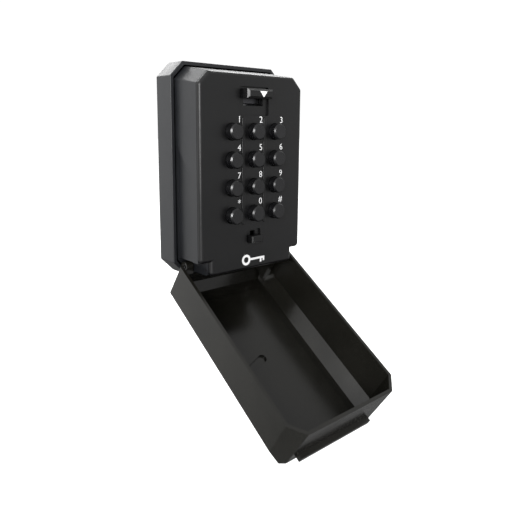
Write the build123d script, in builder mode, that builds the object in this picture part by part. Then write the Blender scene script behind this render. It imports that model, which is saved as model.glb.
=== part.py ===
from build123d import *
import math
import os

os.makedirs("parts", exist_ok=True)

# Wall-mounted push-button key lock box with a flip-down weather cover, modelled with the cover open.
# Millimetres. +Z is up, +Y points into the wall, the origin is the centre of the face on the wall.
# "Depth" below means the distance of a plane from the wall, so depth d lies at y = -d.

# ---- Driving dimensions ----
case_width = 80.0
case_height = 118.0
corner = 8.0
frame_depth = 14.3
frame_wall = 2.0
frame_back = 2.2

body_half_width = 36.8
body_bottom = -56.4
body_top_back = 56.2
body_top_front = 52.6
body_corner = 6.6
body_wall = 3.5
body_back = 2.8
notch_x = 30.0
notch_top = -48.4

door_back = 33.5
door_front = 36.0
door_gap = 0.3
recess_floor = 34.8

column_pitch = 15.5
row_pitch = 15.2
top_row_z = 21.8
button_radius = 4.5
button_front = 41.0
button_travel = 2.5
opener_travel = 4.0
clear_travel = 3.0

cover_wall = 1.8
cover_rim = frame_depth + 0.3
cover_front = 45.2
cover_open_angle = 123.8
cover_axis_depth = 17.6
cover_axis_z = -53.2
cover_pin_radius = 1.25

door_axis_depth = 30.6
door_axis_z = -53.5
door_rod_radius = 1.2

running_gap = 0.05
slip_gap = 0.3

half_width = case_width / 2
half_height = case_height / 2
button_names = ["1", "2", "3", "4", "5", "6", "7", "8", "9", "star", "0", "hash"]
button_places = [
    ((index % 3 - 1) * column_pitch, top_row_z - (index // 3) * row_pitch)
    for index in range(len(button_names))
]


def front_plane(depth, x=0.0, z=0.0):
    """Plane facing away from the wall at the given depth, with its local X to the right."""
    return Plane(origin=(x, -depth, z), x_dir=(1, 0, 0), z_dir=(0, -1, 0))


def side_plane(x):
    """Plane facing +X, in whose sketches the first coordinate is Y and the second is Z."""
    return Plane(origin=(x, 0, 0), x_dir=(0, 1, 0), z_dir=(1, 0, 0))


def octagon(half_w, half_h, cut):
    """Corner points of a rectangle whose four corners are cut off at 45 degrees."""
    return [
        (half_w, half_h - cut), (half_w - cut, half_h), (cut - half_w, half_h), (-half_w, half_h - cut),
        (-half_w, cut - half_h), (cut - half_w, -half_h), (half_w - cut, -half_h), (half_w, cut - half_h),
    ]


def body_top(depth):
    """Height of the sloping top of the body at a depth in front of the frame."""
    slope = (body_top_back - body_top_front) / (door_front - frame_depth)
    return body_top_back - slope * (depth - frame_depth)


def body_outline(depth):
    """Outline of the body in front of the frame: cut top corners and square notches at the bottom."""
    top = body_top(depth)
    right = [
        (notch_x, body_bottom), (notch_x, notch_top), (body_half_width, notch_top),
        (body_half_width, top - body_corner), (body_half_width - body_corner, top),
    ]
    return right + [(-x, z) for x, z in reversed(right)]


def write(part, name):
    """Label a finished piece and write it to its own file."""
    part.label = name
    export_step(part, f"parts/{name}.step")


# ---- Mounting frame: shallow octagonal tray on the wall, whose rim the weather cover closes on ----
wall_hole_radius = 2.6
wall_hole_x, wall_hole_z = 25.0, 38.0
frame_screw_z = 46.0
frame_screw_radius = 1.25
frame_screw_head = 2.5
corner_round = 1.2
edge_round = 0.6
inner_cut = corner - frame_wall * (2 - math.sqrt(2))

with BuildPart() as mounting_frame:
    with BuildSketch(front_plane(0)):
        Polygon(*octagon(half_width, half_height, corner), align=None)
    extrude(amount=frame_depth)
    fillet(mounting_frame.edges().filter_by(Axis.Y), corner_round)
    fillet(mounting_frame.faces().sort_by(Axis.Y)[0].edges(), edge_round)
    fillet(mounting_frame.faces().sort_by(Axis.Y)[-1].edges(), edge_round)
    with BuildSketch(front_plane(frame_back)):
        Polygon(*octagon(half_width - frame_wall, half_height - frame_wall, inner_cut), align=None)
    extrude(amount=frame_depth, mode=Mode.SUBTRACT)
    with BuildSketch(front_plane(0)):
        with GridLocations(2 * wall_hole_x, 2 * wall_hole_z, 2, 2):
            Circle(wall_hole_radius)
    extrude(amount=frame_back, mode=Mode.SUBTRACT)
    for screw_z in (-frame_screw_z, frame_screw_z):
        with BuildSketch(front_plane(0, 0, screw_z)):
            Circle(frame_screw_head + 0.2)
        with BuildSketch(front_plane(frame_screw_head - frame_screw_radius, 0, screw_z)):
            Circle(frame_screw_radius + 0.2)
        loft(mode=Mode.SUBTRACT)
        with BuildSketch(front_plane(0, 0, screw_z)):
            Circle(frame_screw_radius + 0.2)
        extrude(amount=frame_back, mode=Mode.SUBTRACT)
write(mounting_frame.part, "mounting_frame")

# ---- Frame screws: two countersunk screws that hold the key case in the frame from behind ----
screw_recess = 0.8
with BuildPart() as frame_screws:
    for screw_z in (-frame_screw_z, frame_screw_z):
        head_plane = front_plane(0.15, 0, screw_z)
        with BuildSketch(head_plane):
            Circle(frame_screw_head)
        with BuildSketch(head_plane.offset(frame_screw_head - frame_screw_radius)):
            Circle(frame_screw_radius)
        loft()
        with BuildSketch(head_plane):
            Circle(frame_screw_radius)
        extrude(amount=4.4)
        with BuildSketch(head_plane):
            Rectangle(3.0, 0.6)
            Rectangle(0.6, 3.0)
        extrude(amount=screw_recess, mode=Mode.SUBTRACT)
write(frame_screws.part, "frame_screws")

# ---- Key case: die-cast tub for the keys, with a sloping top and notches for the cover's lugs ----
case_front = door_back - door_gap
case_shoulder = frame_depth - 0.3
cavity_floor = frame_back + body_back
cavity_half_width = body_half_width - body_wall
cavity_top, cavity_bottom = 49.5, -45.1
well_half_width = notch_x - body_wall
well_bottom = -53.2
well_open_depth = 27.2
side_step = 0.7
cheek_round = 3.0
side_step_profile = [(-case_shoulder, 14), (-27, 0), (-28.5, notch_top), (-case_shoulder, notch_top)]
pocket_half_width, pocket_top = 7.5, 52.2
pocket_back, pocket_front = 26.4, 31.6

with BuildPart() as key_case:
    with BuildSketch(front_plane(frame_back, 0, (body_top_back + body_bottom) / 2)):
        Polygon(*octagon(body_half_width, (body_top_back - body_bottom) / 2, body_corner), align=None)
    extrude(amount=case_shoulder - frame_back)
    with BuildSketch(front_plane(case_shoulder)):
        Polygon(*body_outline(frame_depth), align=None)
    with BuildSketch(front_plane(case_front)):
        Polygon(*body_outline(case_front), align=None)
    loft(ruled=True)
    long_edges = key_case.edges().filter_by(lambda edge: edge.length > 15 and (edge @ 0.5).Z > 0)
    fillet(long_edges.filter_by(lambda edge: abs((edge % 0.5).Y) > 0.9), corner_round)
    with BuildSketch(front_plane(cavity_floor)):
        with Locations((0, (cavity_top + cavity_bottom) / 2)):
            RectangleRounded(2 * cavity_half_width, cavity_top - cavity_bottom, 3)
        with Locations((0, (well_bottom + cavity_bottom) / 2 + 2)):
            Rectangle(2 * well_half_width, cavity_bottom - well_bottom + 4)
    extrude(amount=case_front, mode=Mode.SUBTRACT)
    with BuildSketch(front_plane(well_open_depth)):
        with Locations((0, (well_bottom + body_bottom) / 2)):
            Rectangle(2 * well_half_width, well_bottom - body_bottom + 1)
    extrude(amount=case_front, mode=Mode.SUBTRACT)
    with BuildSketch(front_plane(pocket_back)):
        with Locations((0, (cavity_top + pocket_top) / 2 - 1)):
            Rectangle(2 * pocket_half_width, pocket_top - cavity_top + 2)
    extrude(amount=pocket_front - pocket_back, mode=Mode.SUBTRACT)
    cheek_edges = key_case.faces().sort_by(Axis.Y)[0].edges().filter_by(Axis.X).group_by(Axis.Z)[0]
    fillet(cheek_edges, cheek_round)
    for side in (-1, 1):
        with BuildSketch(side_plane(side * (body_half_width - side_step))):
            Polygon(*side_step_profile, align=None)
        extrude(amount=side * 2, mode=Mode.SUBTRACT)
    with BuildSketch(side_plane(-notch_x - 1)):
        with Locations((-cover_axis_depth, cover_axis_z)):
            Circle(cover_pin_radius)
        with Locations((-door_axis_depth, door_axis_z)):
            Circle(door_rod_radius)
    extrude(amount=2 * notch_x + 2, mode=Mode.SUBTRACT)
    with BuildSketch(front_plane(frame_back)):
        with GridLocations(2 * wall_hole_x, 2 * wall_hole_z, 2, 2):
            Circle(wall_hole_radius)
        with GridLocations(0, 2 * frame_screw_z, 1, 2):
            Circle(frame_screw_radius)
    extrude(amount=body_back, mode=Mode.SUBTRACT)
write(key_case.part, "key_case")

# ---- Key hook: bent steel strip fixed inside the case ----
hook_z, hook_reach, hook_thickness = 34.0, 12.5, 1.2
hook_profile = [
    (-cavity_floor, hook_z + 5), (-cavity_floor, hook_z - 4), (-hook_reach, hook_z - 4),
    (-hook_reach, hook_z + 1), (hook_thickness - hook_reach, hook_z + 1),
    (hook_thickness - hook_reach, hook_z - 4 + hook_thickness),
    (-cavity_floor - hook_thickness, hook_z - 4 + hook_thickness),
    (-cavity_floor - hook_thickness, hook_z + 5),
]
with BuildPart() as key_hook:
    with BuildSketch(side_plane(0)):
        Polygon(*hook_profile, align=None)
    extrude(amount=2.5, both=True)
    fillet(key_hook.edges().filter_by(Axis.X).sort_by(Axis.Y)[:2], 0.5)
write(key_hook.part, "key_hook")

# ---- Door hinge rod: steel rod across the lower end of the case ----
with BuildPart() as door_hinge_rod:
    with BuildSketch(side_plane(0)):
        with Locations((-door_axis_depth, door_axis_z)):
            Circle(door_rod_radius)
    extrude(amount=notch_x - 0.1, both=True)
write(door_hinge_rod.part, "door_hinge_rod")

# ---- Keypad door: front plate with the buttons, hinged at its lower edge ----
door_edge, door_corner_round = 2.0, 2.4
barrel_radius = 2.9
barrel_half_length = well_half_width - 0.4
standoff_x, standoff_z = 26.0, 36.0
standoff_radius, neck_radius = 2.75, 1.95
guide_front, guide_back = 26.6, 25.8
slide_front, slide_back = 25.4, 24.4
release_front, release_back = 24.0, 23.2
plate_front, plate_back = 22.6, 21.4
plate_screw_radius = 1.0
opener_recess = (10.5, 30.5, 46.0)
opener_slot = (2.9, 35.8, 44.2)
opener_window = (7.0, 35.8, 44.2)
clear_recess = (5.0, -41.2, -33.0)
clear_slot = (1.8, -39.9, -34.1)
ridge_width, ridge_height, ridge_bottom, ridge_top = 2.2, 0.5, -30.0, 29.5
rail_inner, rail_outer, rail_bottom, rail_top = 7.3, 9.0, 36.0, 48.6

with BuildPart() as keypad_door:
    with BuildSketch(front_plane(door_back)):
        Polygon(*body_outline(door_back), align=None)
    with BuildSketch(front_plane(door_front)):
        Polygon(*body_outline(door_front), align=None)
    loft(ruled=True)
    upright_edges = keypad_door.edges().filter_by(lambda edge: abs((edge % 0.5).Y) > 0.9)
    side_corners = upright_edges.filter_by(lambda edge: abs((edge @ 0.5).X) > notch_x + 0.1)
    foot_corners = upright_edges.filter_by(lambda edge: (edge @ 0.5).Z < notch_top - 1)
    fillet(side_corners + foot_corners, door_corner_round)
    fillet(keypad_door.faces().sort_by(Axis.Y)[0].edges(), door_edge)
    with BuildSketch(side_plane(0)):
        with Locations((-door_axis_depth, door_axis_z)):
            Circle(barrel_radius)
        with Locations((-(door_axis_depth + door_back) / 2, door_axis_z)):
            Rectangle(door_back - door_axis_depth, 2 * barrel_radius)
    extrude(amount=barrel_half_length, both=True)
    with BuildSketch(front_plane(guide_front)):
        with GridLocations(2 * standoff_x, 2 * standoff_z, 2, 2):
            Circle(standoff_radius)
    extrude(amount=door_back - guide_front)
    with BuildSketch(front_plane(plate_front)):
        with GridLocations(2 * standoff_x, 2 * standoff_z, 2, 2):
            Circle(neck_radius)
    extrude(amount=guide_front - plate_front)
    with BuildSketch(front_plane(guide_front + 0.2)):
        with Locations((0, (rail_bottom + rail_top) / 2)):
            with GridLocations(rail_inner + rail_outer, 0, 2, 1):
                Rectangle(rail_outer - rail_inner, rail_top - rail_bottom)
    extrude(amount=door_back - guide_front - 0.2)
    with BuildSketch(front_plane(door_front)):
        with GridLocations(column_pitch, 0, 2, 1):
            SlotOverall(ridge_top - ridge_bottom, ridge_width, rotation=90)
    extrude(amount=ridge_height)
    ridge_tops = keypad_door.faces().sort_by(Axis.Y)[:2]
    fillet(ridge_tops.edges(), ridge_height - 0.1)
    with BuildSketch(front_plane(recess_floor)):
        for half, low, high in (opener_recess, clear_recess):
            with Locations((0, (low + high) / 2)):
                RectangleRounded(2 * half, high - low, 1.2)
    extrude(amount=2, mode=Mode.SUBTRACT)
    with BuildSketch(front_plane(door_back)):
        with Locations(*button_places):
            Circle(button_radius + slip_gap)
        for half, low, high in (opener_window, clear_slot):
            with Locations((0, (low + high) / 2)):
                Rectangle(2 * half, high - low)
    extrude(amount=3, mode=Mode.SUBTRACT)
    with BuildSketch(front_plane(plate_front)):
        with GridLocations(2 * standoff_x, 2 * standoff_z, 2, 2):
            Circle(plate_screw_radius + running_gap)
    extrude(amount=8, mode=Mode.SUBTRACT)
    with BuildSketch(side_plane(0)):
        with Locations((-door_axis_depth, door_axis_z)):
            Circle(door_rod_radius + running_gap)
    extrude(amount=barrel_half_length + 1, both=True, mode=Mode.SUBTRACT)
write(keypad_door.part, "keypad_door")

# ---- Buttons: round caps with a retaining flange and a hollow shank behind the door ----
flange_radius, flange_front, flange_back = 5.3, 33.2, 32.2
shank_radius, shank_end = 2.5, 26.9
cap_bevel = 0.7
pin_bore_radius, pin_bore_end = 1.55, 31.4

for name, (x, z) in zip(button_names, button_places):
    with BuildPart() as button:
        with BuildSketch(front_plane(shank_end, x, z)):
            Circle(shank_radius)
        extrude(amount=flange_back - shank_end)
        with BuildSketch(front_plane(flange_back, x, z)):
            Circle(flange_radius)
        extrude(amount=flange_front - flange_back)
        with BuildSketch(front_plane(flange_front, x, z)):
            Circle(button_radius)
        extrude(amount=button_front - flange_front)
        chamfer(button.faces().sort_by(Axis.Y)[0].edges(), cap_bevel)
        with BuildSketch(front_plane(shank_end, x, z)):
            Circle(pin_bore_radius)
        extrude(amount=pin_bore_end - shank_end, mode=Mode.SUBTRACT)
    write(button.part, f"button_{name}")

# ---- Code pins: half-cut pins behind the buttons, each turned with a screwdriver to set the code ----
pin_back, pin_front, spigot_end = 19.5, 26.8, 31.2
pin_flat_back, pin_flat_front, pin_flat = 23.6, 26.2, 1.1

for name, (x, z) in zip(button_names, button_places):
    with BuildPart() as code_pin:
        with BuildSketch(front_plane(pin_back, x, z)):
            Circle(shank_radius)
        extrude(amount=pin_front - pin_back)
        with BuildSketch(front_plane(pin_front, x, z)):
            Circle(pin_bore_radius - running_gap)
        extrude(amount=spigot_end - pin_front)
        with BuildSketch(front_plane(pin_flat_back, x, z)):
            with Locations((pin_flat + shank_radius / 2, 0)):
                Rectangle(shank_radius, 2 * shank_radius)
        extrude(amount=pin_flat_front - pin_flat_back, mode=Mode.SUBTRACT)
        with BuildSketch(front_plane(pin_back, x, z)):
            Rectangle(0.8, 2 * shank_radius)
        extrude(amount=0.9, mode=Mode.SUBTRACT)
    write(code_pin.part, f"code_pin_{name}")

# ---- Button springs: one short compression spring around each shank ----
spring_radius, spring_wire = 3.7, 0.3
spring_back, spring_front = 26.95, 31.8
spring_turns = 4

with BuildPart() as button_spring:
    with BuildLine():
        spring_path = Helix(
            (spring_front - spring_back) / spring_turns, spring_front - spring_back, spring_radius,
            center=(0, -spring_back, 0), direction=(0, -1, 0),
        )
    with BuildSketch(Plane(origin=spring_path @ 0, z_dir=spring_path % 0)):
        Circle(spring_wire)
    sweep()
for name, (x, z) in zip(button_names, button_places):
    write(button_spring.part.moved(Location((x, 0, z))), f"button_spring_{name}")

# ---- Guide plate: fixed steel plate that the button springs press on ----
sheet_half_width, sheet_half_height = 29.5, 42.0
pin_hole_radius = shank_radius + slip_gap

with BuildPart() as guide_plate:
    with BuildSketch(front_plane(guide_back)):
        RectangleRounded(2 * sheet_half_width, 2 * sheet_half_height, 3)
        with Locations(*button_places):
            Circle(pin_hole_radius, mode=Mode.SUBTRACT)
        with GridLocations(2 * standoff_x, 2 * standoff_z, 2, 2):
            Circle(neck_radius + running_gap, mode=Mode.SUBTRACT)
        with Locations((0, sheet_half_height)):
            Rectangle(2 * opener_slot[0], 2 * (sheet_half_height - opener_slot[1]), mode=Mode.SUBTRACT)
        with Locations((0, (clear_slot[1] + clear_slot[2]) / 2)):
            Rectangle(2 * clear_slot[0], clear_slot[2] - clear_slot[1], mode=Mode.SUBTRACT)
    extrude(amount=guide_front - guide_back)
write(guide_plate.part, "guide_plate")

# ---- Plate spacers: sleeves on the standoffs between the guide plate and the back plate ----
with BuildPart() as plate_spacers:
    with BuildSketch(front_plane(plate_front)):
        with GridLocations(2 * standoff_x, 2 * standoff_z, 2, 2):
            Circle(standoff_radius)
            Circle(neck_radius + running_gap, mode=Mode.SUBTRACT)
    extrude(amount=guide_back - plate_front)
write(plate_spacers.part, "plate_spacers")

# ---- Opener: thumb slide on the front, whose stem carries the slotted lock slide ----
opener_half_width, opener_bottom, opener_top, opener_front = 9.0, 39.6, 44.7, 41.8
stem_half_width, stem_bottom, stem_top = 2.5, 40.2, 43.8
tenon_half_width, tenon_half_height = 1.5, 1.0
slide_half_width, slide_bottom, slide_shoulder, slide_top = 21.5, -43.0, 31.0, 45.2
tongue_half_width = 8.0
block_clearance = 0.2

with BuildPart() as opener_slider:
    with BuildSketch(front_plane(recess_floor + block_clearance, 0, (opener_bottom + opener_top) / 2)):
        Rectangle(2 * opener_half_width, opener_top - opener_bottom)
    extrude(amount=opener_front - recess_floor - block_clearance)
    chamfer(opener_slider.faces().sort_by(Axis.Y)[0].edges(), 1.1)
    with BuildSketch(front_plane(slide_front, 0, (stem_bottom + stem_top) / 2)):
        Rectangle(2 * stem_half_width, stem_top - stem_bottom)
    extrude(amount=recess_floor + block_clearance - slide_front)
    with BuildSketch(front_plane(slide_back + 0.1, 0, (stem_bottom + stem_top) / 2)):
        Rectangle(2 * tenon_half_width, 2 * tenon_half_height)
    extrude(amount=slide_front - slide_back - 0.1)
write(opener_slider.part, "opener_slider")

with BuildPart() as lock_slide:
    with BuildSketch(front_plane(slide_back)):
        with Locations((0, (slide_bottom + slide_shoulder) / 2)):
            Rectangle(2 * slide_half_width, slide_shoulder - slide_bottom)
        with Locations((0, (slide_shoulder + slide_top) / 2)):
            Rectangle(2 * tongue_half_width, slide_top - slide_shoulder)
        with Locations(*[(x, z + opener_travel / 2) for x, z in button_places]):
            SlotCenterToCenter(opener_travel, 2 * pin_hole_radius, rotation=90, mode=Mode.SUBTRACT)
        with Locations((0, (stem_bottom + stem_top) / 2)):
            Rectangle(2 * tenon_half_width + 0.1, 2 * tenon_half_height + 0.1, mode=Mode.SUBTRACT)
        with Locations((0, -35.0)):
            Rectangle(2 * clear_slot[0], 10.0, mode=Mode.SUBTRACT)
    extrude(amount=slide_front - slide_back)
write(lock_slide.part, "lock_slide")

# ---- Latch bolt: sliding bolt with a window for the opener's stem, thrown up into the case ----
bolt_half_width, bolt_bottom, bolt_top = 7.0, 37.2, 51.6
bolt_back, bolt_front = 26.9, 31.1
window_bottom, window_top = 40.0, 47.0

with BuildPart() as latch_bolt:
    with BuildSketch(front_plane(bolt_back)):
        with Locations((0, (bolt_bottom + bolt_top) / 2)):
            Rectangle(2 * bolt_half_width, bolt_top - bolt_bottom)
        with Locations((0, (window_bottom + window_top) / 2)):
            Rectangle(2 * (stem_half_width + 0.4), window_top - window_bottom, mode=Mode.SUBTRACT)
    extrude(amount=bolt_front - bolt_back)
    nose_edges = latch_bolt.edges().filter_by(Axis.X).group_by(Axis.Z)[-1]
    chamfer(nose_edges.sort_by(Axis.Y)[-1], 2.0)
write(latch_bolt.part, "latch_bolt")

# ---- Clear slider: small tab on the front that lifts the release plate to free pressed buttons ----
tab_half_width, tab_bottom, tab_top, tab_front = 3.8, -40.5, -36.5, 39.6
clear_stem_half_width, clear_stem_z = 1.5, -38.5
clear_tenon = (1.8, 1.2)
release_top = 36.0

with BuildPart() as clear_slider:
    with BuildSketch(front_plane(recess_floor + block_clearance, 0, (tab_bottom + tab_top) / 2)):
        Rectangle(2 * tab_half_width, tab_top - tab_bottom)
    extrude(amount=tab_front - recess_floor - block_clearance)
    chamfer(clear_slider.faces().sort_by(Axis.Y)[0].edges(), 0.6)
    with BuildSketch(front_plane(release_front, 0, clear_stem_z)):
        Rectangle(2 * clear_stem_half_width, 2.0)
    extrude(amount=recess_floor + block_clearance - release_front)
    with BuildSketch(front_plane(release_back + 0.1, 0, clear_stem_z)):
        Rectangle(*clear_tenon)
    extrude(amount=release_front - release_back - 0.1)
write(clear_slider.part, "clear_slider")

with BuildPart() as release_plate:
    with BuildSketch(front_plane(release_back)):
        with Locations((0, (slide_bottom + release_top) / 2)):
            Rectangle(2 * slide_half_width, release_top - slide_bottom)
        with Locations(*[(x, z - clear_travel / 2) for x, z in button_places]):
            SlotCenterToCenter(clear_travel, 2 * pin_hole_radius, rotation=90, mode=Mode.SUBTRACT)
        with Locations((0, clear_stem_z)):
            Rectangle(clear_tenon[0] + 0.1, clear_tenon[1] + 0.1, mode=Mode.SUBTRACT)
    extrude(amount=release_front - release_back)
write(release_plate.part, "release_plate")

# ---- Back plate: steel cover of the lock mechanism, with bent tabs that seat the return springs ----
tab_thickness = 1.2
slide_seat_z, slide_seat_half_width, slide_seat_reach = -49.3, 4.0, 27.0
clear_seat_z, clear_spring_x, clear_seat_half_width, clear_seat_reach = 42.1, 16.0, 2.0, 25.6

with BuildPart() as back_plate:
    with BuildSketch(front_plane(plate_back)):
        RectangleRounded(2 * sheet_half_width, 2 * sheet_half_height, 3)
        with Locations((0, (slide_seat_z - tab_thickness - sheet_half_height + 4) / 2)):
            Rectangle(2 * slide_seat_half_width, tab_thickness + 4 - slide_seat_z - sheet_half_height)
        with Locations((clear_spring_x, clear_seat_z)):
            Rectangle(2 * clear_seat_half_width, 2 * tab_thickness)
        with Locations(*button_places):
            Circle(pin_hole_radius, mode=Mode.SUBTRACT)
        with GridLocations(2 * standoff_x, 2 * standoff_z, 2, 2):
            Circle(plate_screw_radius + 0.1, mode=Mode.SUBTRACT)
    extrude(amount=plate_front - plate_back)
    with BuildSketch(front_plane(plate_back, 0, slide_seat_z - tab_thickness / 2)):
        Rectangle(2 * slide_seat_half_width, tab_thickness)
    extrude(amount=slide_seat_reach - plate_back)
    with BuildSketch(front_plane(plate_back, clear_spring_x, clear_seat_z + tab_thickness / 2)):
        Rectangle(2 * clear_seat_half_width, tab_thickness)
    extrude(amount=clear_seat_reach - plate_back)
write(back_plate.part, "back_plate")

# ---- Back plate screws: four pan-head screws into the standoffs of the door ----
plate_screw_head, plate_screw_head_height = 2.25, 1.5
with BuildPart() as back_plate_screws:
    with BuildSketch(front_plane(plate_back - plate_screw_head_height)):
        with GridLocations(2 * standoff_x, 2 * standoff_z, 2, 2):
            Circle(plate_screw_head)
    extrude(amount=plate_screw_head_height)
    fillet(back_plate_screws.faces().group_by(Axis.Y)[-1].edges(), 0.5)
    with BuildSketch(front_plane(plate_back)):
        with GridLocations(2 * standoff_x, 2 * standoff_z, 2, 2):
            Circle(plate_screw_radius)
    extrude(amount=8.0)
    with BuildSketch(front_plane(plate_back - plate_screw_head_height)):
        with GridLocations(2 * standoff_x, 2 * standoff_z, 2, 2):
            Rectangle(2.6, 0.6)
            Rectangle(0.6, 2.6)
    extrude(amount=0.8, mode=Mode.SUBTRACT)
write(back_plate_screws.part, "back_plate_screws")

# ---- Slide spring: returns the lock slide and the bolt to the locked position ----
with BuildPart() as slide_spring:
    with BuildLine():
        slide_path = Helix(1.45, 5.8, 1.7, center=(0, -24.9, slide_seat_z + 0.25), direction=(0, 0, 1))
    with BuildSketch(Plane(origin=slide_path @ 0, z_dir=slide_path % 0)):
        Circle(0.2)
    sweep()
write(slide_spring.part, "slide_spring")

# ---- Clear spring: returns the release plate and the clear slider ----
with BuildPart() as clear_spring:
    with BuildLine():
        clear_start = (clear_spring_x, -24.2, release_top + 0.25)
        clear_path = Helix(1.35, 5.4, 1.2, center=clear_start, direction=(0, 0, 1))
    with BuildSketch(Plane(origin=clear_path @ 0, z_dir=clear_path % 0)):
        Circle(0.2)
    sweep()
write(clear_spring.part, "clear_spring")

# ---- Weather cover: deep octagonal lid with a bevelled front, modelled closed and then swung open ----
cover_side_depth, cover_bevel_side, cover_bevel_front = 36.6, 0.8, 8.0
cover_half_height = 59.0
cover_end_bevel, cover_far_bevel = 6.0, 4.5
cover_edge_round = 0.8
plateau_half_width, plateau_low, plateau_high, plateau_height = 26.0, -44.0, 50.0, 1.0
hinge_cut_depth, hinge_cut_z = 29.0, -52.0
lug_inner, lug_outer = 31.0, 35.4
knuckle_radius = 2.9
lug_profile = [
    (-17.6, -50.3), (-19.6, -48.9), (-40.3, -48.9), (-40.3, -52.5), (-37.8, -55.0),
    (-hinge_cut_depth, -55.0), (-25.6, -52.6), (-19.5, -52.6),
]
lip_half_width, lip_height, lip_thickness, lip_front = 26.5, 2.8, 3.0, 38.4
plateau_slope = 4.0
pocket_x, pocket_z, pocket_length, pocket_width, pocket_tilt = -10.5, 5.0, 16.0, 5.0, -20.0
pocket_depth = 1.3

outer_section = [
    (half_width, -cover_rim), (half_width - cover_bevel_side, -cover_side_depth),
    (half_width - cover_bevel_front, -cover_front),
]
inner_section = [
    (half_width - cover_wall, -cover_rim), (half_width - cover_wall - 0.7, 0.5 - cover_side_depth),
    (half_width - cover_bevel_front - 0.8, cover_wall - cover_front),
]
outer_points = outer_section + [(-x, y) for x, y in reversed(outer_section)]
inner_points = inner_section + [(-x, y) for x, y in reversed(inner_section)]
level_plane = Plane(origin=(0, 0, -cover_half_height), x_dir=(1, 0, 0), z_dir=(0, 0, 1))
inner_half_height = cover_half_height - cover_wall
inner_cover_cut = corner - cover_wall * (2 - math.sqrt(2))

with BuildPart() as cover_hollow:
    with BuildSketch(level_plane.offset(cover_wall)):
        Polygon(*inner_points, align=None)
    extrude(amount=2 * inner_half_height)
    with BuildSketch(front_plane(cover_rim - 1)):
        Polygon(*octagon(half_width - cover_wall, inner_half_height, inner_cover_cut), align=None)
    extrude(amount=cover_front, mode=Mode.INTERSECT)
    bottom_edge = cover_hollow.edges().filter_by(Axis.X).group_by(Axis.Z)[0].sort_by(Axis.Y)[0]
    chamfer(bottom_edge, cover_end_bevel - 1)
    far_edge = cover_hollow.edges().filter_by(Axis.X).group_by(Axis.Z)[-1].sort_by(Axis.Y)[0]
    chamfer(far_edge, cover_far_bevel - 1)

with BuildPart() as weather_cover:
    with BuildSketch(level_plane):
        Polygon(*outer_points, align=None)
    extrude(amount=2 * cover_half_height)
    with BuildSketch(front_plane(cover_rim - 1)):
        Polygon(*octagon(half_width, cover_half_height, corner), align=None)
    extrude(amount=cover_front, mode=Mode.INTERSECT)
    bottom_edge = weather_cover.edges().filter_by(Axis.X).group_by(Axis.Z)[0].sort_by(Axis.Y)[0]
    chamfer(bottom_edge, cover_end_bevel)
    far_edge = weather_cover.edges().filter_by(Axis.X).group_by(Axis.Z)[-1].sort_by(Axis.Y)[0]
    chamfer(far_edge, cover_far_bevel)
    rim_depth = cover_rim + 0.5
    body_edges = weather_cover.edges().filter_by(lambda edge: -(edge @ 0.5).Y > rim_depth)
    fillet(body_edges, cover_edge_round)
    add(cover_hollow.part, mode=Mode.SUBTRACT)
    with BuildSketch(front_plane(cover_front - cover_wall - plateau_height)):
        with Locations((0, (plateau_low + plateau_high) / 2)):
            Rectangle(2 * plateau_half_width - 2, plateau_high - plateau_low)
    with BuildSketch(front_plane(cover_front - cover_wall)):
        with Locations((0, (plateau_low + plateau_high) / 2)):
            Rectangle(2 * (plateau_half_width + plateau_slope) - 2, plateau_high - plateau_low + 2)
    loft(ruled=True)
    with BuildSketch(front_plane(cover_front - plateau_height)):
        with Locations((0, (plateau_low + plateau_high) / 2)):
            RectangleRounded(2 * plateau_half_width - 4, plateau_high - plateau_low - 4, 1.5)
    extrude(amount=plateau_height + 1, mode=Mode.SUBTRACT)
    with BuildSketch(front_plane(cover_front - cover_wall - plateau_height, pocket_x, pocket_z)):
        SlotOverall(pocket_length, pocket_width, rotation=pocket_tilt)
    extrude(amount=pocket_depth, mode=Mode.SUBTRACT)
    with BuildSketch(front_plane(cover_rim - 1, 0, hinge_cut_z - 10)):
        Rectangle(2 * case_width, 20)
    extrude(amount=hinge_cut_depth - cover_rim + 1, mode=Mode.SUBTRACT)
    for side in (-1, 1):
        with BuildSketch(side_plane(side * lug_inner)):
            Polygon(*lug_profile, align=None)
            with Locations((-cover_axis_depth, cover_axis_z)):
                Circle(knuckle_radius)
        extrude(amount=side * (lug_outer - lug_inner))
    with BuildSketch(front_plane(lip_front - lip_thickness, 0, cover_half_height - 1 + (lip_height + 1) / 2)):
        Rectangle(2 * lip_half_width, lip_height + 1)
    extrude(amount=lip_thickness)
    with BuildSketch(side_plane(0)):
        with Locations((-cover_axis_depth, cover_axis_z)):
            Circle(cover_pin_radius + running_gap)
    extrude(amount=half_width, both=True, mode=Mode.SUBTRACT)
cover_axis = Axis((0, -cover_axis_depth, cover_axis_z), (1, 0, 0))
write(weather_cover.part.rotate(cover_axis, cover_open_angle), "weather_cover")

# ---- Cover hinge pins: short steel pins through the lugs into the cheeks of the case ----
pin_inner, pin_outer = well_half_width + 0.1, 35.9
for name, side in (("left", -1), ("right", 1)):
    with BuildPart() as cover_hinge_pin:
        with BuildSketch(side_plane(side * pin_inner)):
            with Locations((-cover_axis_depth, cover_axis_z)):
                Circle(cover_pin_radius)
        extrude(amount=side * (pin_outer - pin_inner))
    write(cover_hinge_pin.part, f"cover_hinge_pin_{name}")
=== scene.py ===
# Push-button key lock box with its weather cover swung down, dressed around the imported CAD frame.
# Metres. +X is to the viewer's right, +Y points into the wall, +Z is up.
import math
import bpy
import bmesh
from mathutils import Matrix, Vector


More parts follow.
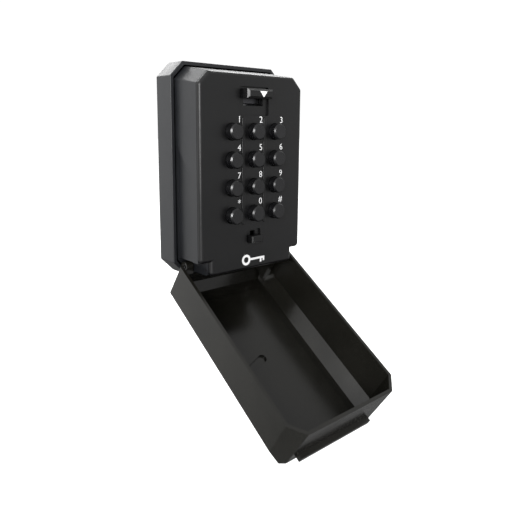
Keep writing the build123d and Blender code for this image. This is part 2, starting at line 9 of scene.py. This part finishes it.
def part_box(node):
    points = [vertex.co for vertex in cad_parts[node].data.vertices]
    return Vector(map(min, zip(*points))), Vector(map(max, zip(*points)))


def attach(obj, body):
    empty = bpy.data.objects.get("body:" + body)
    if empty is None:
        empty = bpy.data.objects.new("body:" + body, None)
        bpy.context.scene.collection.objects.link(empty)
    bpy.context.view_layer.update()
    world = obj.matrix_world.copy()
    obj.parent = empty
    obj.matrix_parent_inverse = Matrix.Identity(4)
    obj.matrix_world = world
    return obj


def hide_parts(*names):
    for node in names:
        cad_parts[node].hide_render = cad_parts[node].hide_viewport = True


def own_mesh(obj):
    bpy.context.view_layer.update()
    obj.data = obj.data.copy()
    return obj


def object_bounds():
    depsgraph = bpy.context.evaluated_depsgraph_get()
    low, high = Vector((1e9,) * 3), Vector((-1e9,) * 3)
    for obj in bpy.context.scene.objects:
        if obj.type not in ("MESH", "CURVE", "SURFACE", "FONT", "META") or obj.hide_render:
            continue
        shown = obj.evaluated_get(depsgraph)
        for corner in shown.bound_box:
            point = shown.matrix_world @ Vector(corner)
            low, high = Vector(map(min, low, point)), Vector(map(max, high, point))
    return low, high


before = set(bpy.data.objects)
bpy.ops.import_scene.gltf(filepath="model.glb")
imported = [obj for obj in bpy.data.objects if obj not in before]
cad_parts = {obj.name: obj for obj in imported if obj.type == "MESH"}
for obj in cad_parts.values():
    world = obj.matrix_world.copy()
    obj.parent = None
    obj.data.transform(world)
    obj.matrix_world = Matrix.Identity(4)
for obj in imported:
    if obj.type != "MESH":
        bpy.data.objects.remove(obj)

box_at_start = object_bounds()

# ---- Studio: a pale floor in a white room that is darker towards the ground ----
# The box hangs on its wall screws, so the floor lies well under the open cover. An overhead softbox,
# a back panel and a narrow strip on the left pick out the edges.
floor_drop = 0.035
reach = 6.0
lowest = min(corner[2] for corner in box_at_start)
floor_mesh = bpy.data.meshes.new("studio_floor")
floor_corners = [(-reach, -reach, 0), (reach, -reach, 0), (reach, reach, 0), (-reach, reach, 0)]
floor_mesh.from_pydata(floor_corners, [], [(0, 1, 2, 3)])
floor = bpy.data.objects.new("studio_floor", floor_mesh)
floor.location.z = lowest - floor_drop
bpy.context.scene.collection.objects.link(floor)
paper = bpy.data.materials.new("white_paper")
paper.use_nodes = True
paper_shader = paper.node_tree.nodes["Principled BSDF"]
paper_shader.inputs["Base Color"].default_value = (0.97, 0.97, 0.97, 1)
paper_shader.inputs["Roughness"].default_value = 0.9
paper_shader.inputs["Specular IOR Level"].default_value = 0.1
floor_mesh.materials.append(paper)
floor.visible_glossy = False

room = bpy.data.worlds.new("studio_room")
room.use_nodes = True
room_nodes, room_links = room.node_tree.nodes, room.node_tree.links
direction = room_nodes.new("ShaderNodeSeparateXYZ")
room_links.new(room_nodes.new("ShaderNodeTexCoord").outputs["Generated"], direction.inputs["Vector"])


def room_fade(axis, start, end, start_value, end_value):
    """Brightness of the room that changes from one value to another along one axis."""
    fade = room_nodes.new("ShaderNodeMapRange")
    sockets = ("From Min", "From Max", "To Min", "To Max")
    for socket, value in zip(sockets, (start, end, start_value, end_value)):
        fade.inputs[socket].default_value = value
    room_links.new(direction.outputs[axis], fade.inputs["Value"])
    return fade


height_fade = room_fade("Z", -0.6, 0.0, 0.25, 1.05)
left_wall = room_fade("X", -0.7, 0.1, 1.8, 1.0)
brightness = room_nodes.new("ShaderNodeMath")
brightness.operation = "MULTIPLY"
room_links.new(height_fade.outputs["Result"], brightness.inputs[0])
room_links.new(left_wall.outputs["Result"], brightness.inputs[1])
room_links.new(brightness.outputs["Value"], room_nodes["Background"].inputs["Strength"])
room_nodes["Background"].inputs["Color"].default_value = (1, 1, 1, 1)
bpy.context.scene.world = room
bpy.context.scene.view_settings.view_transform = "Standard"


def softbox(name, place, target, width, height, power):
    """Area light at a place, turned to a target."""
    data = bpy.data.lights.new(name, "AREA")
    data.shape = "RECTANGLE"
    data.size, data.size_y = width, height
    data.energy = power
    light = bpy.data.objects.new(name, data)
    light.location = place
    light.rotation_euler = (Vector(target) - Vector(place)).to_track_quat("-Z", "Y").to_euler()
    bpy.context.scene.collection.objects.link(light)


softbox("overhead_softbox", (0.42, 0.33, 0.5), (0, -0.03, 0.05), 0.3, 0.3, 2.2)
softbox("back_panel", (0.0, 0.8, 0.55), (-0.03, -0.01, 0.05), 0.4, 0.4, 3.5)
softbox("left_strip", (-0.7, -0.55, 0.22), (-0.03, -0.03, 0.02), 0.12, 0.5, 12.0)

# ---- Camera: to the left of the box, level with its keypad and tilted down towards the cover ----
# Its turn, tilt and lean are in degrees, its place in metres.
camera_place = (-0.19743, -0.26703, 0.02541)
turn, tilt, lean = (math.radians(angle) for angle in (41.38, 9.71, 0.48))
ahead = Vector((math.sin(turn) * math.cos(tilt), math.cos(turn) * math.cos(tilt), -math.sin(tilt)))
level_right = Vector((math.cos(turn), -math.sin(turn), 0))
level_up = level_right.cross(ahead)
right = math.cos(lean) * level_right + math.sin(lean) * level_up
up = -math.sin(lean) * level_right + math.cos(lean) * level_up
camera_data = bpy.data.cameras.new("camera")
camera_data.sensor_width = 36.0
camera_data.lens = 38.22
camera_data.shift_x = -0.0134
camera_data.shift_y = -0.0731
camera_data.clip_start = 0.01
camera = bpy.data.objects.new("camera", camera_data)
camera.matrix_world = Matrix.Translation(camera_place) @ Matrix((right, up, -ahead)).transposed().to_4x4()
bpy.context.scene.collection.objects.link(camera)
bpy.context.scene.camera = camera

# ---- Key case and mounting frame: die-cast zinc with a fine black powder coat ----
# The tray lies on the wall, and the key case is screwed into it from behind. Both show the grain
# of the powder and a sheen that varies a little.


def dress(node, material):
    """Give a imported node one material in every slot."""
    mesh = bpy.data.objects[node].data
    mesh.materials.clear()
    mesh.materials.append(material)


def coated(name, colour, roughness, grain_size, grain_depth, gloss):
    """Black coating with fine grain, patchy sheen and a faint drift of colour."""
    material = bpy.data.materials.new(name)
    material.use_nodes = True
    nodes, links = material.node_tree.nodes, material.node_tree.links
    shader = nodes["Principled BSDF"]
    shader.inputs["Specular IOR Level"].default_value = gloss
    place = nodes.new("ShaderNodeTexCoord").outputs["Object"]

    grain = nodes.new("ShaderNodeTexNoise")
    grain.inputs["Scale"].default_value = 1 / grain_size
    grain.inputs["Detail"].default_value = 3
    links.new(place, grain.inputs["Vector"])
    bump = nodes.new("ShaderNodeBump")
    bump.inputs["Strength"].default_value = 0.6
    bump.inputs["Distance"].default_value = grain_depth
    links.new(grain.outputs["Fac"], bump.inputs["Height"])
    links.new(bump.outputs["Normal"], shader.inputs["Normal"])

    patches = nodes.new("ShaderNodeTexNoise")
    patches.inputs["Scale"].default_value = 45
    patches.inputs["Detail"].default_value = 5
    links.new(place, patches.inputs["Vector"])
    sheen = nodes.new("ShaderNodeMapRange")
    sheen.inputs["From Min"].default_value = 0.3
    sheen.inputs["From Max"].default_value = 0.7
    sheen.inputs["To Min"].default_value = roughness - 0.05
    sheen.inputs["To Max"].default_value = roughness + 0.07
    links.new(patches.outputs["Fac"], sheen.inputs["Value"])
    links.new(sheen.outputs["Result"], shader.inputs["Roughness"])

    drift = nodes.new("ShaderNodeValToRGB")
    drift.color_ramp.elements[0].position = 0.3
    drift.color_ramp.elements[0].color = [0.8 * c for c in colour] + [1]
    drift.color_ramp.elements[1].position = 0.7
    drift.color_ramp.elements[1].color = [1.2 * c for c in colour] + [1]
    links.new(patches.outputs["Fac"], drift.inputs["Fac"])
    links.new(drift.outputs["Color"], shader.inputs["Base Color"])
    return material


powder_coat = coated("black_powder_coat", (0.006, 0.0065, 0.0075), 0.4, 0.00035, 0.00003, 0.32)
dress("mounting_frame", powder_coat)
dress("key_case", powder_coat)

# ---- Steel parts: zinc-plated screws, spacers, key hook and the sheets of the lock ----
# Turned and pressed parts with fine drawing lines. They show when the door is down.


def plated(name, colour, roughness, line_stretch):
    """Plated or drawn metal with fine lines along one direction."""
    material = bpy.data.materials.new(name)
    material.use_nodes = True
    nodes, links = material.node_tree.nodes, material.node_tree.links
    shader = nodes["Principled BSDF"]
    shader.inputs["Metallic"].default_value = 1
    place = nodes.new("ShaderNodeTexCoord").outputs["Object"]
    squeeze = nodes.new("ShaderNodeMapping")
    squeeze.inputs["Scale"].default_value = line_stretch
    links.new(place, squeeze.inputs["Vector"])
    lines = nodes.new("ShaderNodeTexNoise")
    lines.inputs["Scale"].default_value = 900
    lines.inputs["Detail"].default_value = 4
    links.new(squeeze.outputs["Vector"], lines.inputs["Vector"])
    bump = nodes.new("ShaderNodeBump")
    bump.inputs["Strength"].default_value = 0.4
    bump.inputs["Distance"].default_value = 0.00002
    links.new(lines.outputs["Fac"], bump.inputs["Height"])
    links.new(bump.outputs["Normal"], shader.inputs["Normal"])
    sheen = nodes.new("ShaderNodeMapRange")
    sheen.inputs["To Min"].default_value = roughness - 0.08
    sheen.inputs["To Max"].default_value = roughness + 0.1
    links.new(lines.outputs["Fac"], sheen.inputs["Value"])
    links.new(sheen.outputs["Result"], shader.inputs["Roughness"])
    tint = nodes.new("ShaderNodeValToRGB")
    tint.color_ramp.elements[0].color = [0.75 * c for c in colour] + [1]
    tint.color_ramp.elements[1].color = [min(1, 1.15 * c) for c in colour] + [1]
    links.new(lines.outputs["Fac"], tint.inputs["Fac"])
    links.new(tint.outputs["Color"], shader.inputs["Base Color"])
    return material


plated_steel = plated("zinc_plated_steel", (0.55, 0.56, 0.58), 0.34, (1, 1, 0.08))
for node in (
    "frame_screws", "key_hook", "plate_spacers", "back_plate", "back_plate_screws",
    "lock_slide", "release_plate",
):
    dress(node, plated_steel)

# ---- Hinge pins, hinge rod, guide plate and latch bolt: blackened steel, on the guide plate a painted shade ----
# The cover's two pins show their ends on the outside of the lugs. The bolt slides behind the
# door's plate and shows through the window under the opener.
# Painted shade: the guide plate takes this dark steel instead of plating, so the window under the opener
# reads dark as shade there would.
black_steel_and_painted_shade = plated("blackened_steel_and_painted_shade", (0.07, 0.07, 0.075), 0.38, (0.1, 1, 1))
for node in (
    "door_hinge_rod", "cover_hinge_pin_left", "cover_hinge_pin_right", "guide_plate", "latch_bolt",
):
    dress(node, black_steel_and_painted_shade)

# ---- Springs: coils of drawn wire ----
# The button springs sit around the shanks, the other two between the plates' tabs. One end of each
# rests on a seat that stays with the door.
key_marks = ["1", "2", "3", "4", "5", "6", "7", "8", "9", "star", "0", "hash"]
spring_wire = plated("spring_wire", (0.42, 0.42, 0.44), 0.3, (1, 1, 1))


def fit_spring(node, along, seat):
    """Coil in a packed spring's place, carried with the door; its axis (1 for Y, 2 for Z) and seat give
    an anchor that nothing uses.
    """
    wire = bpy.data.objects[node].data.copy()
    wire.materials.clear()
    wire.materials.append(spring_wire)
    coil = bpy.data.objects.new(f"{node}_coil", wire)
    bpy.context.scene.collection.objects.link(coil)
    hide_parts(node)
    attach(coil, "door")
    low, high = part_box(node)
    axis, anchor = [0, 0, 0], list(low)
    axis[along], anchor[along] = 1, seat
    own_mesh(coil)


button_seat, button_travel = -0.0266, 0.0025
slide_seat, slide_travel = -0.0493, 0.004
clear_seat, clear_travel = 0.0421, 0.003
for mark in key_marks:
    fit_spring(f"button_spring_{mark}", 1, button_seat)
fit_spring("slide_spring", 2, slide_seat)
fit_spring("clear_spring", 2, clear_seat)

# ---- Code pins: turned brass, one behind each button ----
# Their rear ends show in the holes of the back plate when the door is open.
turned_brass = plated("turned_brass", (0.75, 0.55, 0.24), 0.3, (1, 0.1, 1))
for mark in key_marks:
    dress(f"code_pin_{mark}", turned_brass)

# ---- Keypad door: die-cast zinc like the case, with a smoother satin coat ----
# The front plate carries the screen-printed legends, each up and to the right of its button, and a
# small key sign at its foot.
satin_coat = coated("black_satin_coat", (0.002, 0.002, 0.0022), 0.34, 0.0003, 0.00002, 0.28)
dress("keypad_door", satin_coat)

ridge_height = 0.0005
door_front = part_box("keypad_door")[0][1] + ridge_height
print_height = 0.00004
white_print = coated("white_screen_print", (0.52, 0.52, 0.52), 0.55, 0.0002, 0.00001, 0.25)
legend_size, stroke_thinning = 0.005, 0.00003
column_pitch, row_pitch, top_row = 0.0155, 0.0152, 0.0218
legend_right, legend_up = 0.0049, 0.0064
legend_signs = ["1", "2", "3", "4", "5", "6", "7", "8", "9", "*", "0", "#"]

printed = bmesh.new()
for index, sign in enumerate(legend_signs):
    letters = bpy.data.curves.new("legend", "FONT")
    letters.body = sign
    letters.size = legend_size
    letters.align_x, letters.align_y = "CENTER", "CENTER"
    letters.extrude = print_height
    letters.offset = -stroke_thinning if sign.isdigit() else 0
    letters.resolution_u = 6
    text = bpy.data.objects.new("legend", letters)
    bpy.context.scene.collection.objects.link(text)
    bpy.context.view_layer.update()
    finished = text.evaluated_get(bpy.context.evaluated_depsgraph_get())
    shape = bpy.data.meshes.new_from_object(finished)
    x = (index % 3 - 1) * column_pitch + legend_right
    z = top_row - (index // 3) * row_pitch + legend_up
    place = Matrix.Translation((x, door_front - print_height, z))
    shape.transform(place @ Matrix.Rotation(math.pi / 2, 4, "X"))
    printed.from_mesh(shape)
    bpy.data.objects.remove(text)
    bpy.data.meshes.remove(shape)
    bpy.data.curves.remove(letters)
legend_mesh = bpy.data.meshes.new("key_legends")
printed.to_mesh(legend_mesh)
printed.free()
legend_mesh.materials.clear()
legend_mesh.materials.append(white_print)
key_legends = bpy.data.objects.new("key_legends", legend_mesh)
bpy.context.scene.collection.objects.link(key_legends)
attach(key_legends, "door")


def flat_print(name, outlines, plane_y, body):
    """Thin printed shape from closed outlines in the face's X and Z, facing the front."""
    shape = bmesh.new()
    for outline in outlines:
        back = [shape.verts.new((x, plane_y, z)) for x, z in outline]
        front = [shape.verts.new((x, plane_y - 2 * print_height, z)) for x, z in outline]
        shape.faces.new(front)
        shape.faces.new(list(reversed(back)))
        for i in range(len(outline)):
            j = (i + 1) % len(outline)
            shape.faces.new((front[j], front[i], back[i], back[j]))
    bmesh.ops.recalc_face_normals(shape, faces=shape.faces)
    mesh = bpy.data.meshes.new(name)
    shape.to_mesh(mesh)
    shape.free()
    mesh.materials.append(white_print)
    piece = bpy.data.objects.new(name, mesh)
    bpy.context.scene.collection.objects.link(piece)
    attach(piece, body)


sign_z = -0.0505
bow_x, bow_radius, bow_hole, bow_steps = -0.0055, 0.0031, 0.0017, 32
bow = []
for i in range(bow_steps):
    a0, a1 = 2 * math.pi * i / bow_steps, 2 * math.pi * (i + 1) / bow_steps
    bow.append([
        (bow_x + r * math.cos(a), sign_z + r * math.sin(a))
        for r, a in ((bow_hole, a0), (bow_radius, a0), (bow_radius, a1), (bow_hole, a1))
    ])
shank_start, shank_end, shank_half = -0.0025, 0.0082, 0.0006
long_bit, short_bit = (0.0048, 0.0060, 0.0026), (0.0070, 0.0082, 0.0021)
shank = [(shank_start, sign_z - shank_half)]
for bit_start, bit_end, bit_drop in (long_bit, short_bit):
    shank += [
        (bit_start, sign_z - shank_half), (bit_start, sign_z - bit_drop),
        (bit_end, sign_z - bit_drop), (bit_end, sign_z - shank_half),
    ]
shank[-1] = (shank_end, sign_z + shank_half)
shank.append((shank_start, sign_z + shank_half))
flat_print("key_sign", bow + [shank], door_front, "door")

# ---- Buttons: glossy black caps, one for each mark ----
# Each cap slides in its hole in the door and springs back against a flange behind the plate.
button_gloss = coated("black_button_gloss", (0.003, 0.003, 0.0034), 0.26, 0.0005, 0.00001, 0.32)
for mark in key_marks:
    dress(f"button_{mark}", button_gloss)

# ---- Thumb slides: the opener at the top, with a printed arrow, and the clearing tab below ----
# Both are small castings with the door's satin coat.
dress("opener_slider", satin_coat)
dress("clear_slider", satin_coat)
arrow_x, arrow_z = 0.0018, 0.0419
arrow_half_width, arrow_half_height = 0.0026, 0.0016
arrow = [
    (arrow_x - arrow_half_width, arrow_z + arrow_half_height),
    (arrow_x + arrow_half_width, arrow_z + arrow_half_height),
    (arrow_x, arrow_z - arrow_half_height),
]
opener_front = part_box("opener_slider")[0][1]
flat_print("opener_arrow", [arrow], opener_front, "opener")

# ---- Weather cover: smooth black moulding, glossier than the castings ----
# It hangs open on two lugs with its hollow side up, and swings up to close on the tray's rim.
moulded_black = coated("black_moulding", (0.0052, 0.005, 0.004), 0.2, 0.0008, 0.00001, 0.27)
dress("weather_cover", moulded_black)
